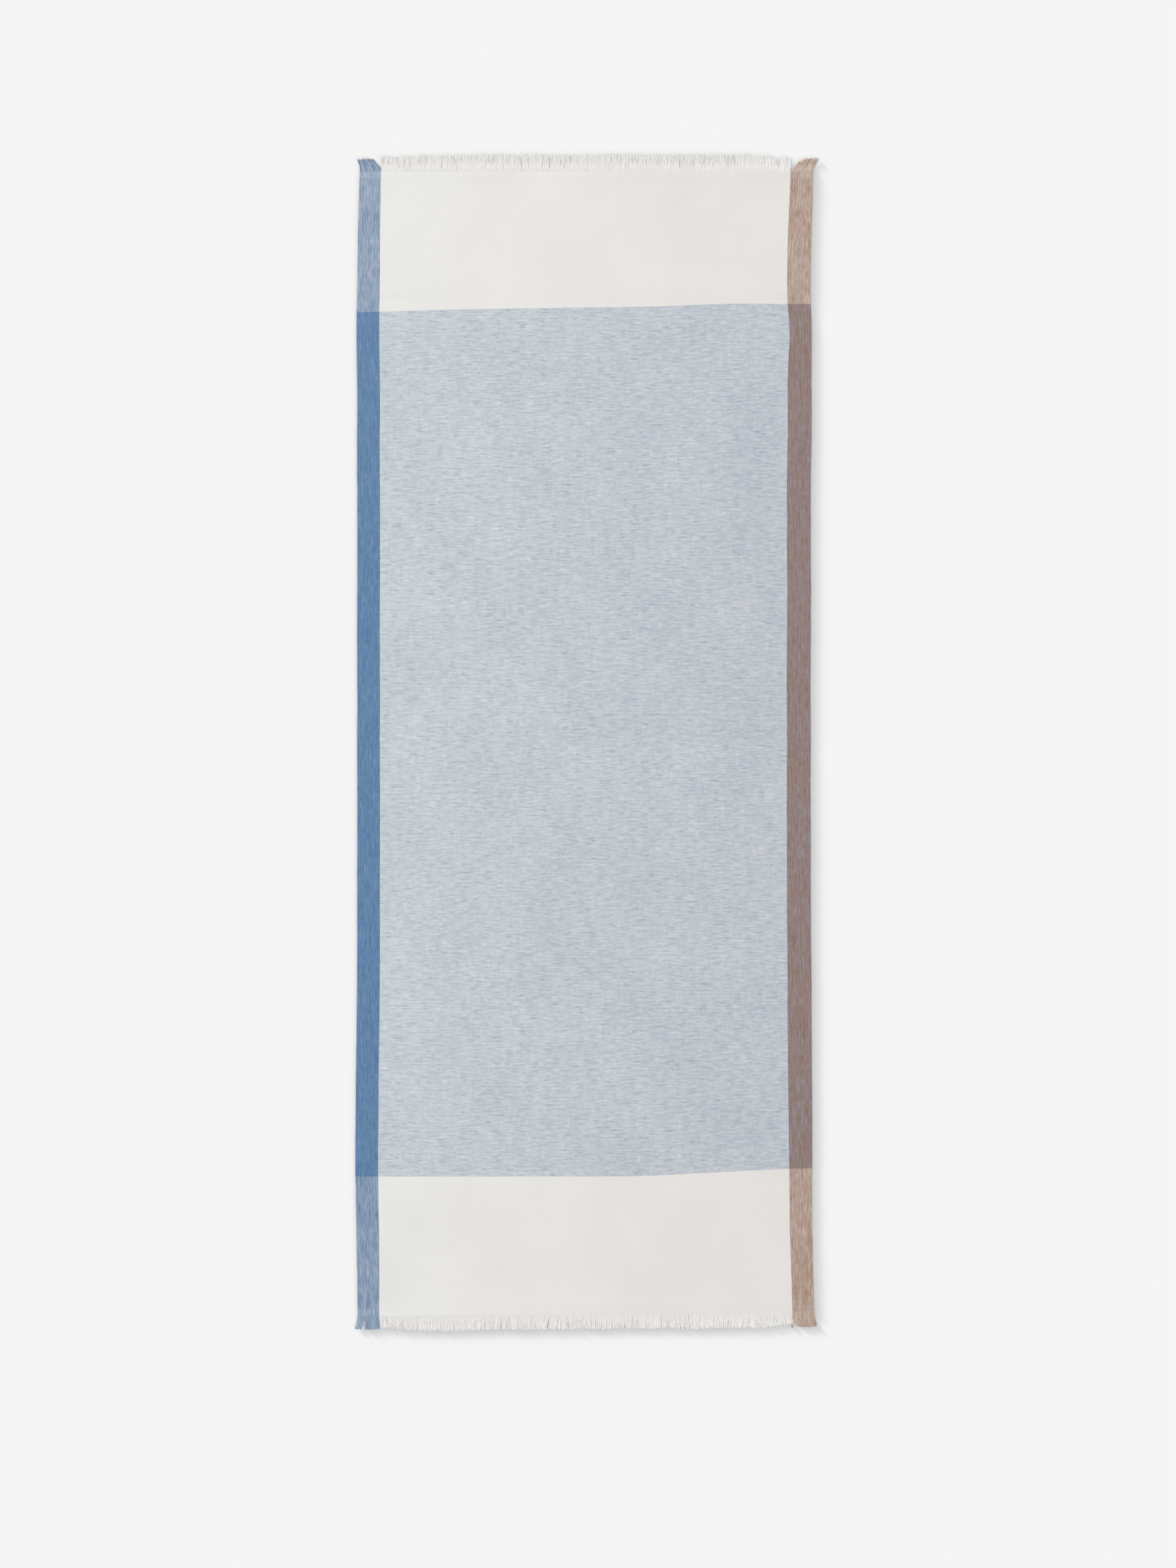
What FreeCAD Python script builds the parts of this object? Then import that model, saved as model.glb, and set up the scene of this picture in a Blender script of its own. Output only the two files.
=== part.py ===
"""Table runner: one woven cloth with a blue and a brown warp stripe, a blue-weft centre,
ivory-weft ends, a fringe of free warp ends at each end and a row of lock stitches beside each.

Frame: millimetres, +Y along the warp towards the north end, +X across towards the brown stripe,
+Z up. The origin is the middle of the underside, where the runner rests.

The cloth is built as areas, one for each warp stripe between two fold lines. It folds at the
middle of its length and at the two lines where the weft changes colour.
"""

import FreeCAD
import Part
import Sketcher
import os

DRIVING_SIZES = [
    ("cloth_width", 500),  # selvedge to selvedge
    ("woven_length", 1270),  # between the two fringes
    ("cloth_thickness", 0.6),
    ("blue_stripe_width", 25),
    ("brown_stripe_width", 26),
    ("end_band_length", 155),  # ivory weft, at each end
    ("fold_gap", 0.3),  # clearance between the areas on both sides of a fold line
    ("fringe_length", 15),
    ("fringe_thickness", 0.45),
    ("fringe_lift", 0.05),  # underside of the fringe above the underside of the cloth
    ("tuft_pitch", 4.5),  # wanted: each stripe has a whole number of tufts
    ("tuft_gap", 0.6),  # between two tufts, where they leave the cloth
    ("tuft_taper", 1.2),  # how much narrower a tuft is at its tip
    ("stitch_pitch", 4.4),  # wanted: each row has a whole number of stitches
    ("stitch_gap", 1.0),  # where the thread dips between two stitches
    ("stitch_width", 0.5),
    ("stitch_height", 0.15),
    ("stitch_inset", 8),  # from the fringe to the row
    ("stitch_margin", 2),  # from each selvedge to the row's end
]

GROUND_WIDTH = "(sizes.cloth_width - sizes.blue_stripe_width - sizes.brown_stripe_width)"
WEST_SELVEDGE = "(-sizes.cloth_width / 2)"
WOVEN_END = "(sizes.woven_length / 2)"
END_FOLD = "(sizes.woven_length / 2 - sizes.end_band_length)"
HALF_GAP = "(sizes.fold_gap / 2)"

# name, width, west edge
STRIPES = [
    ("blue_stripe", "sizes.blue_stripe_width", WEST_SELVEDGE),
    ("ground", GROUND_WIDTH, f"({WEST_SELVEDGE} + sizes.blue_stripe_width)"),
    ("brown_stripe", "sizes.brown_stripe_width", f"(-{WEST_SELVEDGE} - sizes.brown_stripe_width)"),
]

# name, and how far its near and far edges are from the middle of the runner
STRETCHES = [
    ("centre", HALF_GAP, f"({END_FOLD} - {HALF_GAP})"),
    ("end", f"({END_FOLD} + {HALF_GAP})", WOVEN_END),
]

SIDES = ("north", "south")
HALF_TURN = FreeCAD.Rotation(FreeCAD.Vector(0, 0, 1), 180)

document = FreeCAD.newDocument("table_runner")


def write_sizes():
    """Puts the driving sizes in the sheet, one to a row, each cell's alias its name."""
    sheet = document.addObject("Spreadsheet::Sheet", "sizes")
    for row, (name, value) in enumerate(DRIVING_SIZES, start=1):
        sheet.set(f"A{row}", name)
        sheet.set(f"B{row}", str(value))
        sheet.setAlias(f"B{row}", name)
    document.recompute()


def new_body(name):
    """An empty body whose label is the sub-part's name."""
    body = document.addObject("PartDesign::Body", name)
    body.Label = name
    return body


def draw_four_sides(body):
    """A closed outline on the body's XY plane: line 0 is the root edge, which starts at the
    origin and lies along X, line 1 the east side, line 2 the tip edge and line 3 the west side."""
    sketch = body.newObject("Sketcher::SketchObject", f"{body.Name}_outline")
    plane = next(f for f in body.Origin.OriginFeatures if f.Role == "XY_Plane")
    sketch.AttachmentSupport = (plane, [""])
    sketch.MapMode = "FlatFace"

    corners = [FreeCAD.Vector(x, y, 0) for x, y in ((0, 0), (9, 0), (8, 5), (1, 5))]
    for start, end in zip(corners, corners[1:] + corners[:1]):
        sketch.addGeometry(Part.LineSegment(start, end), False)
    for side in range(4):
        sketch.addConstraint(Sketcher.Constraint("Coincident", side, 2, (side + 1) % 4, 1))
    sketch.addConstraint(Sketcher.Constraint("Coincident", 0, 1, -1, 1))
    sketch.addConstraint(Sketcher.Constraint("Horizontal", 0))
    sketch.addConstraint(Sketcher.Constraint("Horizontal", 2))
    return sketch


def dimension(sketch, name, size, kind, first, second):
    """Adds a named distance between two points, each (line, end), and ties it to the sheet."""
    index = sketch.addConstraint(Sketcher.Constraint(kind, *first, *second, 1.0))
    sketch.renameConstraint(index, name)
    sketch.setExpression(f"Constraints.{name}", size)


def draw_rectangle(body, width, length):
    """The outline of an area of cloth or of one stitch."""
    sketch = draw_four_sides(body)
    sketch.addConstraint(Sketcher.Constraint("Vertical", 1))
    sketch.addConstraint(Sketcher.Constraint("Vertical", 3))
    dimension(sketch, "width", width, "DistanceX", (0, 1), (0, 2))
    dimension(sketch, "length", length, "DistanceY", (1, 1), (1, 2))
    return sketch


def draw_tuft(body, root_width):
    """The outline of one tuft, which narrows evenly from both sides to its tip."""
    sketch = draw_four_sides(body)
    dimension(sketch, "root_width", root_width, "DistanceX", (0, 1), (0, 2))
    dimension(sketch, "length", "sizes.fringe_length", "DistanceY", (1, 1), (1, 2))
    dimension(sketch, "west_taper", "sizes.tuft_taper / 2", "DistanceX", (3, 2), (3, 1))
    dimension(sketch, "east_taper", "sizes.tuft_taper / 2", "DistanceX", (1, 2), (1, 1))
    return sketch


def pad_outline(body, sketch, thickness):
    """Gives the outline its thickness, upwards."""
    pad = body.newObject("PartDesign::Pad", f"{body.Name}_pad")
    pad.Profile = sketch
    pad.setExpression("Length", thickness)
    return pad


def repeat_across(body, sketch, pad, count, pitch):
    """Repeats the pad along the root edge, as separate solids of one sub-part."""
    row = body.newObject("PartDesign::LinearPattern", f"{body.Name}_row")
    row.Originals = [pad]
    row.Direction = (sketch, ["H_Axis"])
    row.Mode = "Spacing"
    row.setExpression("Offset", pitch)
    row.setExpression("Occurrences", count)
    body.Tip = row


def place(body, west, low, height):
    """Ties where the body's origin sits to the sheet."""
    body.setExpression("Placement.Base.x", west)
    body.setExpression("Placement.Base.y", low)
    body.setExpression("Placement.Base.z", height)


def make_area(stripe, width, west, side, stretch, near, far):
    """One area of the cloth: a warp stripe between two fold lines, or a fold line and a fringe."""
    body = new_body(f"{stripe}_{side}_{stretch}")
    sketch = draw_rectangle(body, width, f"{far} - {near}")
    pad_outline(body, sketch, "sizes.cloth_thickness")
    place(body, west, near if side == "north" else f"-{far}", "0")
    return body


def make_fringe(stripe, width, west, side):
    """The free warp ends of one stripe, as tapered tufts that leave the end of the cloth."""
    count = f"round({width} / sizes.tuft_pitch)"
    pitch = f"({width} / {count})"
    body = new_body(f"{stripe}_{side}_fringe")
    sketch = draw_tuft(body, f"{pitch} - sizes.tuft_gap")
    pad = pad_outline(body, sketch, "sizes.fringe_thickness")
    repeat_across(body, sketch, pad, count, pitch)
    if side == "north":
        place(body, f"{west} + sizes.tuft_gap / 2", WOVEN_END, "sizes.fringe_lift")
    else:
        body.Placement = FreeCAD.Placement(FreeCAD.Vector(), HALF_TURN)
        east = f"{west} + {width} - sizes.tuft_gap / 2"
        place(body, east, f"-{WOVEN_END}", "sizes.fringe_lift")
    return body


def make_stitches(side):
    """The row of lock stitches that stops the weft from working out at the fringe."""
    row_width = "(sizes.cloth_width - 2 * sizes.stitch_margin)"
    count = f"round({row_width} / sizes.stitch_pitch)"
    pitch = f"({row_width} / {count})"
    body = new_body(f"lock_stitches_{side}")
    sketch = draw_rectangle(body, f"{pitch} - sizes.stitch_gap", "sizes.stitch_width")
    pad = pad_outline(body, sketch, "sizes.stitch_height")
    repeat_across(body, sketch, pad, count, pitch)
    west = f"{WEST_SELVEDGE} + sizes.stitch_margin + sizes.stitch_gap / 2"
    inner = f"({WOVEN_END} - sizes.stitch_inset)"
    low = f"{inner} - sizes.stitch_width" if side == "north" else f"-{inner}"
    place(body, west, low, "sizes.cloth_thickness")
    return body


def make_runner():
    """All the sub-parts, in order from the north end."""
    bodies = []
    for side in SIDES:
        for stretch, near, far in STRETCHES:
            for stripe, width, west in STRIPES:
                bodies.append(make_area(stripe, width, west, side, stretch, near, far))
        for stripe, width, west in STRIPES:
            bodies.append(make_fringe(stripe, width, west, side))
        bodies.append(make_stitches(side))
    return bodies


def check(bodies):
    """Stops if any object failed to recompute or any sub-part has no sound shape."""
    failed = [o.Label for o in document.Objects if {"Invalid", "Error"} & set(o.State)]
    if failed:
        raise RuntimeError(f"these objects failed to recompute: {failed}")
    unsound = [b.Label for b in bodies if b.Shape.isNull() or not b.Shape.isValid()]
    if unsound:
        raise RuntimeError(f"these sub-parts have no valid shape: {unsound}")


def export(bodies):
    """Writes one STEP file to a sub-part, named by its label, and reports its size."""
    os.makedirs("parts", exist_ok=True)
    for body in bodies:
        body.Shape.exportStep(os.path.join("parts", f"{body.Label}.step"))
        box = body.Shape.BoundBox
        print(
            f"{body.Label:28} {len(body.Shape.Solids):4} solids  {body.Shape.Volume:10.1f} mm3"
            f"  X {box.XMin:8.2f} {box.XMax:8.2f}  Y {box.YMin:8.2f} {box.YMax:8.2f}"
            f"  Z {box.ZMin:5.2f} {box.ZMax:5.2f}"
        )


write_sizes()
runner = make_runner()
document.recompute()
check(runner)
export(runner)
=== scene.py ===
"""Looks of the table runner: a woven cloth with a blue and a brown warp stripe, a slubby
blue-weft centre and ivory-weft ends, its selvedges, lock stitches and fringes.

Metres, in the row frame: +X across towards the brown stripe, +Y along the warp towards the north
end, +Z up, with the underside on z = 0. The flat cloth has coordinates of its own, across and
along, which the weave follows wherever the cloth goes.
"""

import logging
import math
import random
from dataclasses import dataclass, field, replace
from enum import Enum
from typing import Callable, Iterable, Sequence

import bmesh
import bpy
from mathutils import Matrix, Vector, noise
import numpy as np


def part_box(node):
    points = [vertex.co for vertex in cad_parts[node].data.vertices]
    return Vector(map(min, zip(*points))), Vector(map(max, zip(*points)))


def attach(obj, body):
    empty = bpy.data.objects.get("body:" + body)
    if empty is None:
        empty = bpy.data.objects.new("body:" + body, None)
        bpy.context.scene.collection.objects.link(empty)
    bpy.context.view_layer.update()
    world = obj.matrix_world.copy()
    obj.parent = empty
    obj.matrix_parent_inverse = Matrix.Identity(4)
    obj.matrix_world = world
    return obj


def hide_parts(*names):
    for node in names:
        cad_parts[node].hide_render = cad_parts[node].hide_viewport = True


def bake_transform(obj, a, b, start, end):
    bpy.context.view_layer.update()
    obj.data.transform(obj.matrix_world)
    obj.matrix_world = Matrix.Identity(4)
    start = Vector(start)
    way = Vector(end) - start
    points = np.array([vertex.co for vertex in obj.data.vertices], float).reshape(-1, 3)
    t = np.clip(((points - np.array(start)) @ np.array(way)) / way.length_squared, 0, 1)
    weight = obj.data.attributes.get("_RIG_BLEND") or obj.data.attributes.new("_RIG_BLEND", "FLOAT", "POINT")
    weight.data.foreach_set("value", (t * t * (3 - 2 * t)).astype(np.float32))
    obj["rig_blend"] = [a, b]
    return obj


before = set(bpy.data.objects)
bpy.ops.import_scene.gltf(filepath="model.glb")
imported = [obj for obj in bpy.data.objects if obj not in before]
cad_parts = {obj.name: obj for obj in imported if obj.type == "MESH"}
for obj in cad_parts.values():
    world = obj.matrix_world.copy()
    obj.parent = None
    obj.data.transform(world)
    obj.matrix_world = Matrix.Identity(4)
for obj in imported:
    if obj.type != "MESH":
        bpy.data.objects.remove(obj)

log = logging.getLogger("table_runner")
MM = 0.001
FLAT_MAP = "flat_cloth"
YARN_MAP = "yarn"
TONE = "tone"

Colour = tuple[float, float, float]


# ---- the cloth's plan and lie


class Stripe(Enum):
    """A warp stripe, by the first part of its CAD nodes' names."""

    BLUE = "blue_stripe"
    GROUND = "ground"
    BROWN = "brown_stripe"


class Side(Enum):
    """One half of the runner; the value is its sign along +Y."""

    NORTH = 1
    SOUTH = -1

    @property
    def label(self) -> str:
        """The word that CAD nodes and bodies use."""
        return self.name.lower()


class Stretch(Enum):
    """A length of cloth between two fold lines, or a fold line and a fringe."""

    CENTRE = "centre"
    END = "end"


class Selvedge(Enum):
    """A long edge; the value is its sign along +X."""

    WEST = -1
    EAST = 1


@dataclass(frozen=True)
class ClothPlan:
    """The flat sizes, read from the CAD nodes.

    Attributes:
        edges: West and east edge of each stripe.
        woven_end: How far the weave reaches from the middle.
        end_fold: How far the end folds, where the weft changes colour, are from the middle.
        thickness: Thickness of the cloth.
        stitch_line: How far the lock stitches are from the middle.
        stitch_reach: How far the stitch row reaches to each side.
    """

    edges: dict[Stripe, tuple[float, float]]
    woven_end: float
    end_fold: float
    thickness: float
    stitch_line: float
    stitch_reach: float

    @classmethod
    def from_frame(cls) -> "ClothPlan":
        """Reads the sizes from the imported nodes' boxes."""
        edges = {}
        for stripe in Stripe:
            low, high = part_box(f"{stripe.value}_north_centre")
            edges[stripe] = (low.x, high.x)
        inner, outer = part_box("ground_north_end")
        stitch_low, stitch_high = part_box("lock_stitches_north")
        centre_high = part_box("ground_north_centre")[1]
        return cls(
            edges=edges,
            woven_end=outer.y,
            end_fold=(inner.y + centre_high.y) / 2,
            thickness=outer.z - inner.z,
            stitch_line=(stitch_low.y + stitch_high.y) / 2,
            stitch_reach=stitch_high.x,
        )

    @property
    def half_width(self) -> float:
        """Half the width between the selvedges."""
        return self.edges[Stripe.BROWN][1]


def smooth_ramp(value: float, start: float, end: float) -> float:
    """0 before start, 1 after end, with an even S between them."""
    share = min(1.0, max(0.0, (value - start) / (end - start)))
    return share * share * (3 - 2 * share)


def bell(value: float, centre: float, reach: float) -> float:
    """A soft hump of height 1 at centre, about twice reach wide."""
    return math.exp(-(((value - centre) / reach) ** 2))


def rolling(x: float, y: float, layer: float) -> float:
    """Smooth noise from about -1 to 1, at a point of one of its layers."""
    return noise.noise(Vector((x, y, layer)))


@dataclass(frozen=True)
class Swell:
    """A soft sideways shift of the cloth near one place along it.

    Attributes:
        amount: How far it shifts east, in millimetres.
        along: Its middle, in millimetres from the cloth's middle.
        reach: How far it reaches to each side, in millimetres.
    """

    amount: float
    along: float
    reach: float

    def at(self, along: float) -> float:
        """The shift at a place along the cloth, in metres."""
        return self.amount * MM * bell(along, self.along * MM, self.reach * MM)


def swells(*parts: tuple[float, float, float]) -> tuple[Swell, ...]:
    """Swells from their amounts, middles and reaches, in millimetres."""
    return tuple(Swell(*part) for part in parts)


EVEN = 9000  # a reach so wide that the shift is the same all along
WEST_EDGE = swells(
    (-0.8, 0, EVEN), (4.9, 685, 90), (-0.9, 460, 60), (-2.0, -440, 125), (1.0, -650, 50)
)
EAST_EDGE = swells(
    (0.3, 0, EVEN), (2.6, 670, 100), (1.1, 380, 90), (1.7, -400, 150), (4.6, -680, 90)
)
BLUE_SEAM = swells((-0.3, 0, EVEN), (-2.4, 670, 90), (-1.9, -660, 70))
BROWN_SEAM = swells(
    (0.1, 0, EVEN), (1.8, 670, 90), (2.4, 452, 30), (2.2, -545, 110), (1.5, -625, 55)
)


def total(parts: Iterable[Swell], along: float) -> float:
    """The sum of these swells at a place along the cloth, in metres."""
    return sum(part.at(along) for part in parts)


@dataclass(frozen=True)
class ClothLie:
    """How the flat cloth lies on the table: its shifted edges, soft relief and bowed weft.

    Attributes:
        plan: The flat sizes.
        blue_seam: Where the blue stripe's seam is, as a share of half the width.
        brown_seam: Where the brown stripe's seam is.
        seam_reach: How far a seam's own shift reaches, as such a share.
        waver: How far the edges waver sideways.
        north_slip: How far the north end has slipped back south.
        corner_slip: How far the south-east corner has slipped back north.
        slip_start: Where along each half those slips start.
        relief: Height of the soft rises.
        mean_rise: The cloth's mean rise, as a share of that height.
        broad_rise: Share of the broad rises.
        small_rise: Share of the smaller ones.
        edge_power: How sharply the long edges rise, as a power.
        end_power: How sharply the woven ends do.
        fold_lift: Share of the long edges' rise that stays at a fold line.
        clearance: Height of the underside above the table everywhere.
        fold_calm: How far from a fold line the cloth lies quite flat.
        stitch_pinch: How far the lock stitches press each face in.
        pinch_reach: How far to each side that reaches.
        end_taper: How much thinner the cloth gets at its last wefts.
        taper_reach: How far from its end that starts.
    """

    plan: ClothPlan
    blue_seam: float = -0.90
    brown_seam: float = 0.896
    seam_reach: float = 0.09
    waver: float = 0.5 * MM
    north_slip: float = 3.0 * MM
    corner_slip: float = 4.4 * MM
    slip_start: float = 0.50
    relief: float = 0.74 * MM
    mean_rise: float = 0.30
    broad_rise: float = 0.42
    small_rise: float = 0.20
    edge_power: int = 10
    end_power: int = 60
    fold_lift: float = 0.85
    clearance: float = 0.04 * MM
    fold_calm: float = 5 * MM
    stitch_pinch: float = 0.17 * MM
    pinch_reach: float = 1.1 * MM
    end_taper: float = 0.13 * MM
    taper_reach: float = 2.5 * MM

    def drift(self, across: float, along: float) -> float:
        """How far east a point lies of its place in the flat cloth."""
        share = across / self.plan.half_width
        eastness = (share + 1) / 2
        edges = total(WEST_EDGE, along) * (1 - eastness) + total(EAST_EDGE, along) * eastness
        seams = total(BLUE_SEAM, along) * bell(share, self.blue_seam, self.seam_reach)
        seams += total(BROWN_SEAM, along) * bell(share, self.brown_seam, self.seam_reach)
        waver = rolling(along * 13, share * 0.8, 2.7) + 0.4 * rolling(along * 47, share * 1.5, 9.1)
        return edges + seams + self.waver * waver

    def slip(self, across: float, along: float) -> float:
        """How far north a point lies of its place in the flat cloth."""
        share = smooth_ramp(abs(along), self.slip_start, self.plan.woven_end)
        if along > 0:
            return -self.north_slip * share
        return self.corner_slip * share * (across / self.plan.half_width + 1) / 2

    def rise(self, across: float, along: float) -> float:
        """Height of the underside above the table."""
        broad = self.broad_rise * rolling(across * 6.5, along * 4.2, 1.3)
        small = self.small_rise * rolling(across * 15, along * 10, 5.9)
        edge = (abs(across) / self.plan.half_width) ** self.edge_power
        end = (abs(along) / self.plan.woven_end) ** self.end_power
        level = self.mean_rise + broad + small + max(edge, end)
        calm = 1.0
        for line in (0.0, self.plan.end_fold, -self.plan.end_fold):
            calm *= smooth_ramp(abs(along - line), self.fold_calm, 4 * self.fold_calm)
        lifted = max(calm, self.fold_lift * edge)
        return self.clearance + self.relief * lifted * min(1.0, max(0.0, level))

    def pinch(self, along: float) -> float:
        """How far each face is pressed in at a lock stitch row and towards the fringe."""
        row = self.stitch_pinch * bell(abs(along), self.plan.stitch_line, self.pinch_reach)
        taper_start = self.plan.woven_end - self.taper_reach
        return row + self.end_taper * smooth_ramp(abs(along), taper_start, self.plan.woven_end)

    def place(self, across: float, along: float, height: float) -> Vector:
        """A point of the cloth in the row frame.

        Args:
            across: Place across the flat cloth.
            along: Place along the flat cloth.
            height: Height above the underside.
        """
        x = across + self.drift(across, along)
        y = along + self.slip(across, along)
        return Vector((x, y, self.rise(across, along) + height))

    def face_height(self, along: float, top: bool) -> float:
        """Height of the top or bottom face above the unpressed underside."""
        pinch = self.pinch(along)
        return self.plan.thickness - pinch if top else pinch

    def weft_bow(self, across: float, along: float) -> float:
        """How far along the cloth the weft thread at a point has bowed from straight."""
        share = across / self.plan.half_width
        if along > 0:
            bow = 1.3 + 3.6 * share + 2.0 * bell(share, 0.66, 0.22) - 1.6 * bell(share, -1, 0.3)
        else:
            bow = -0.4 + 9.6 * smooth_ramp(share, 0.1, 1.1)
        near = abs(abs(along) - self.plan.end_fold)
        fade = 1 - smooth_ramp(near, 0, self.plan.woven_end - self.plan.end_fold)
        return bow * MM * fade


# ---- node groups and finishes


Socket = bpy.types.NodeSocket
Value = Socket | float
Tint = Socket | Colour


class NodeBench:
    """Adds nodes to one tree, each step a call that returns the output socket."""

    def __init__(self, tree: bpy.types.NodeTree) -> None:
        """Starts with a material's or group's tree, emptied."""
        self.tree = tree
        tree.nodes.clear()

    def add(self, kind: str, **settings: object) -> bpy.types.Node:
        """A new node of this kind with these settings."""
        node = self.tree.nodes.new(kind)
        for name, value in settings.items():
            setattr(node, name, value)
        return node

    def feed(self, socket: Socket, value: Value | Sequence[float]) -> None:
        """Links an output to the socket, or sets the socket's own value."""
        if isinstance(value, bpy.types.NodeSocket):
            self.tree.links.new(value, socket)
        else:
            socket.default_value = value

    def math(self, operation: str, *values: Value) -> Socket:
        """One Math node."""
        node = self.add("ShaderNodeMath", operation=operation)
        for socket, value in zip(node.inputs, values):
            self.feed(socket, value)
        return node.outputs[0]

    def times(self, first: Value, second: Value) -> Socket:
        """The product of two values."""
        return self.math("MULTIPLY", first, second)

    def added(self, change: Value, amount: Value, base: Value) -> Socket:
        """The base with this amount of a change added."""
        return self.math("MULTIPLY_ADD", change, amount, base)

    def ramp(
        self, value: Value, low: Value, high: Value, start: float = 0, end: float = 1
    ) -> Socket:
        """A smooth step of value from low to high, put out from start to end."""
        node = self.add("ShaderNodeMapRange", interpolation_type="SMOOTHSTEP", clamp=True)
        names = ("Value", "From Min", "From Max", "To Min", "To Max")
        for name, given in zip(names, (value, low, high, start, end)):
            self.feed(node.inputs[name], given)
        return node.outputs[0]

    def split(self, vector: Socket) -> tuple[Socket, Socket, Socket]:
        """A vector as three numbers."""
        node = self.add("ShaderNodeSeparateXYZ")
        self.feed(node.inputs[0], vector)
        return node.outputs[0], node.outputs[1], node.outputs[2]

    def lumps(self, x: Value, y: Value, layer: float, detail: float = 0.0) -> Socket:
        """Soft noise from 0 to 1, at a point of one of its layers."""
        spot = self.add("ShaderNodeCombineXYZ")
        for socket, value in zip(spot.inputs, (x, y, layer)):
            self.feed(socket, value)
        cloud = self.add("ShaderNodeTexNoise", noise_dimensions="3D")
        self.feed(cloud.inputs["Vector"], spot.outputs[0])
        cloud.inputs["Scale"].default_value = 1.0
        cloud.inputs["Detail"].default_value = detail
        return cloud.outputs[0]

    def blend(self, share: Value, first: Tint, second: Tint) -> Socket:
        """The mix of two colours."""
        node = self.add("ShaderNodeMix", data_type="RGBA", blend_type="MIX")
        self.feed(node.inputs[0], share)
        for socket, colour in ((node.inputs[6], first), (node.inputs[7], second)):
            self.feed(socket, (*colour, 1.0) if isinstance(colour, tuple) else colour)
        return node.outputs[2]

    def tint(self, colour: Tint, value: Socket) -> Socket:
        """The colour made lighter or darker by a factor."""
        node = self.add("ShaderNodeVectorMath", operation="SCALE")
        self.feed(node.inputs[0], colour)
        self.feed(node.inputs["Scale"], value)
        return node.outputs[0]


def new_group(
    name: str, inputs: Sequence[str], outputs: Sequence[str]
) -> tuple[NodeBench, bpy.types.Node, bpy.types.Node]:
    """An empty shader node group with named sockets.

    Args:
        name: The group's name.
        inputs: Its inputs: first a place on a map, then numbers.
        outputs: Its outputs, all numbers.

    Returns:
        The bench on its tree, the group's input node and its output node.
    """
    tree = bpy.data.node_groups.new(name, "ShaderNodeTree")
    bench = NodeBench(tree)
    for i, label in enumerate(inputs):
        kind = "NodeSocketFloat" if i else "NodeSocketVector"
        tree.interface.new_socket(label, in_out="INPUT", socket_type=kind)
    for label in outputs:
        tree.interface.new_socket(label, in_out="OUTPUT", socket_type="NodeSocketFloat")
    return bench, bench.add("NodeGroupInput"), bench.add("NodeGroupOutput")


def make_weave_group() -> bpy.types.NodeTree:
    """A plain weave on the flat cloth's map: which thread is on top, and how high the face is."""
    inputs = ("Flat", "Warp Pitch", "Weft Pitch")
    bench, given, out = new_group("plain_weave", inputs, ("Over", "Height"))
    across, along, _ = bench.split(given.outputs["Flat"])

    def threads(place: Socket, pitch: str, scale: Vector, layer: float, sway: float) -> Socket:
        """The wave of the threads side by side at this pitch, which wander a little."""
        lump = bench.lumps(bench.times(across, scale.x), bench.times(along, scale.y), layer)
        shift = bench.times(bench.math("SUBTRACT", lump, 0.5), sway)
        count = bench.math("DIVIDE", bench.math("ADD", place, shift), given.outputs[pitch])
        return bench.math("SINE", bench.times(count, math.pi))

    warp = threads(across, "Warp Pitch", Vector((30, 55)), 0.0, 1.5 * MM)
    weft = threads(along, "Weft Pitch", Vector((60, 28)), 4.0, 1.3 * MM)
    over = bench.times(warp, weft)
    bench.feed(out.inputs["Over"], over)
    bench.feed(out.inputs["Height"], bench.math("ABSOLUTE", over))
    return bench.tree


def make_streak_group() -> bpy.types.NodeTree:
    """Thick and thin places in the yarns: weft and warp about 0, and dashes and specks."""
    bench, given, out = new_group("yarn_streaks", ("Flat",), ("Weft", "Warp", "Dash", "Speck"))
    across, along, _ = bench.split(given.outputs["Flat"])

    def lumps(x_scale: float, y_scale: float, layer: float, detail: float = 1.0) -> Socket:
        """Noise with this many lumps to a metre across and along."""
        return bench.lumps(bench.times(across, x_scale), bench.times(along, y_scale), layer, detail)

    def about_zero(first: Socket, second: Socket) -> Socket:
        """Two noises added, from about -1 to 1."""
        return bench.times(bench.math("SUBTRACT", bench.math("ADD", first, second), 1.0), 2.0)

    bench.feed(out.inputs["Weft"], about_zero(lumps(140, 440, 1.0), lumps(56, 500, 2.0)))
    bench.feed(out.inputs["Warp"], about_zero(lumps(700, 110, 3.0), lumps(780, 30, 4.0)))
    bench.feed(out.inputs["Dash"], bench.ramp(lumps(80, 720, 5.0), 0.59, 0.74))
    bench.feed(out.inputs["Speck"], bench.ramp(lumps(230, 760, 7.0, 0.0), 0.76, 0.84))
    return bench.tree


def make_mottle_group() -> bpy.types.NodeTree:
    """Soft uneven shade over the cloth, broad, fine and down to its fibres, from about -1 to 1."""
    bench, given, out = new_group("cloth_mottle", ("Flat",), ("Broad", "Fine", "Fibre"))
    across, along, _ = bench.split(given.outputs["Flat"])
    for name, per_metre, stretch, layer, detail in (
        ("Broad", 13, 1.2, 0.0, 2.0),
        ("Fine", 90, 1.3, 3.0, 3.0),
        ("Fibre", 1500, 1.0, 6.0, 2.0),
    ):
        x, y = bench.times(across, per_metre), bench.times(along, per_metre / stretch)
        lump = bench.lumps(x, y, layer, detail)
        bench.feed(out.inputs[name], bench.times(bench.math("SUBTRACT", lump, 0.5), 2.0))
    return bench.tree


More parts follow.
